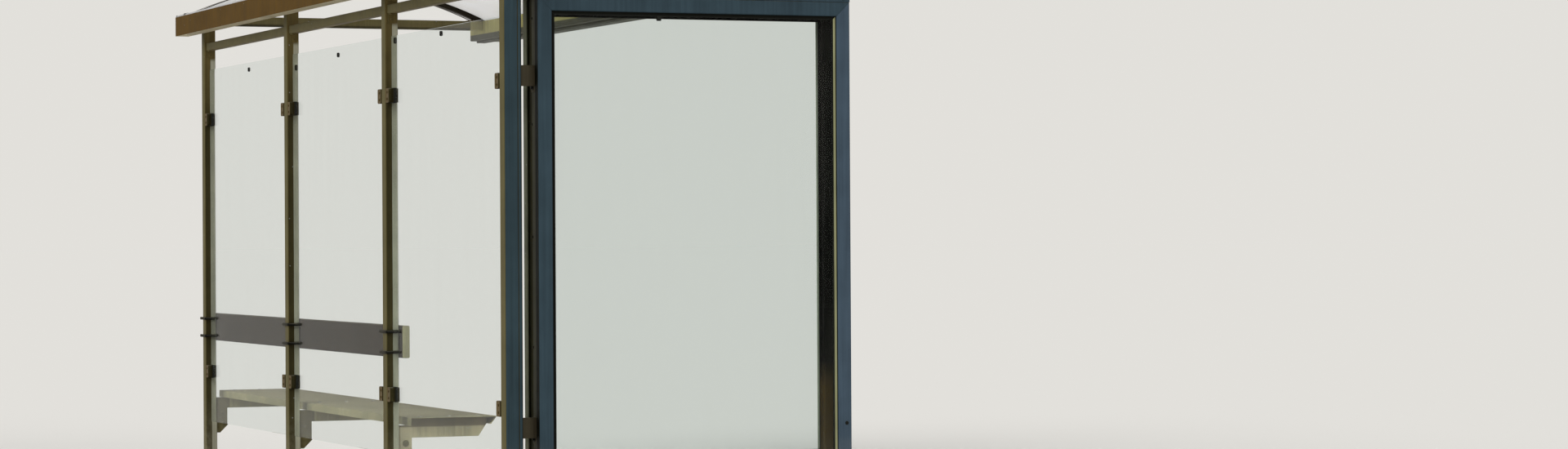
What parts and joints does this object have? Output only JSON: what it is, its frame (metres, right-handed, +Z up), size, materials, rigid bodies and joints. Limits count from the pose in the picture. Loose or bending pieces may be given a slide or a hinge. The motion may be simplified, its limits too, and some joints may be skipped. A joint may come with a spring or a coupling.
{
  "type": "bus shelter",
  "caption": "Open-fronted bus shelter: glazed rear wall between square posts, shallow arched roof, glazed display case across one end and a bench with a backrest.",
  "frame": {"origin": "on the ground, under the middle of the roof", "axes": "+X along the wall from the display case to the far end, +Y out of the rear wall, +Z up"},
  "size_m": [5.3, 1.84, 2.615],
  "materials": {
    "frame_paint": "olive bronze powder coat on steel tube, semi-matt",
    "fascia_paint": "brown powder coat on folded steel sheet, semi-matt",
    "case_paint": "dark olive grey powder coat, semi-matt",
    "case_body_paint": "dark brown powder coat, matt",
    "clamp_paint": "dark brown painted clamps and straps",
    "clear_glass": "clear toughened glass, slightly dusty",
    "roof_sheet": "milky multiwall polycarbonate",
    "bench_paint": "beige grey paint, worn",
    "backrest_paint": "grey brown paint, matt"
  },
  "bodies": {
    "root": {"rear_post_1": "frame_paint", "rear_post_2": "frame_paint", "rear_post_3": "frame_paint", "rear_post_4": "frame_paint", "top_rail_1": "frame_paint", "top_rail_2": "frame_paint", "top_rail_3": "frame_paint", "rail_brackets": "frame_paint", "glass_pane_1": "clear_glass", "glass_pane_2": "clear_glass", "glass_pane_3": "clear_glass", "glass_clamps_1": "clamp_paint", "glass_clamps_2": "clamp_paint", "glass_clamps_3": "clamp_paint", "glass_clamps_4": "clamp_paint", "rafter_1": "frame_paint", "rafter_2": "frame_paint", "rafter_3": "frame_paint", "rafter_4": "frame_paint", "near_end_rail": "frame_paint", "far_end_rail": "frame_paint", "rear_fascia": "fascia_paint", "front_beam": "fascia_paint", "roof_sheet": "roof_sheet", "case_door_left_stile": "case_paint", "case_door_right_stile": "case_paint", "case_door_top_rail": "case_paint", "case_door_bottom_rail": "case_paint", "case_body_left": "case_body_paint", "case_body_right": "case_body_paint", "case_body_top": "case_body_paint", "case_body_bottom": "case_body_paint", "case_door_glass": "clear_glass", "case_rear_glass": "clear_glass", "case_header": "case_paint", "case_leg_left": "case_body_paint", "case_leg_right": "case_body_paint", "case_bracket_upper": "clamp_paint", "case_bracket_lower": "clamp_paint", "seat_panel": "bench_paint", "seat_arm_1": "bench_paint", "seat_arm_2": "bench_paint", "seat_arm_3": "bench_paint", "backrest": "backrest_paint", "backrest_straps": "clamp_paint"}
  },
  "joints": []
}
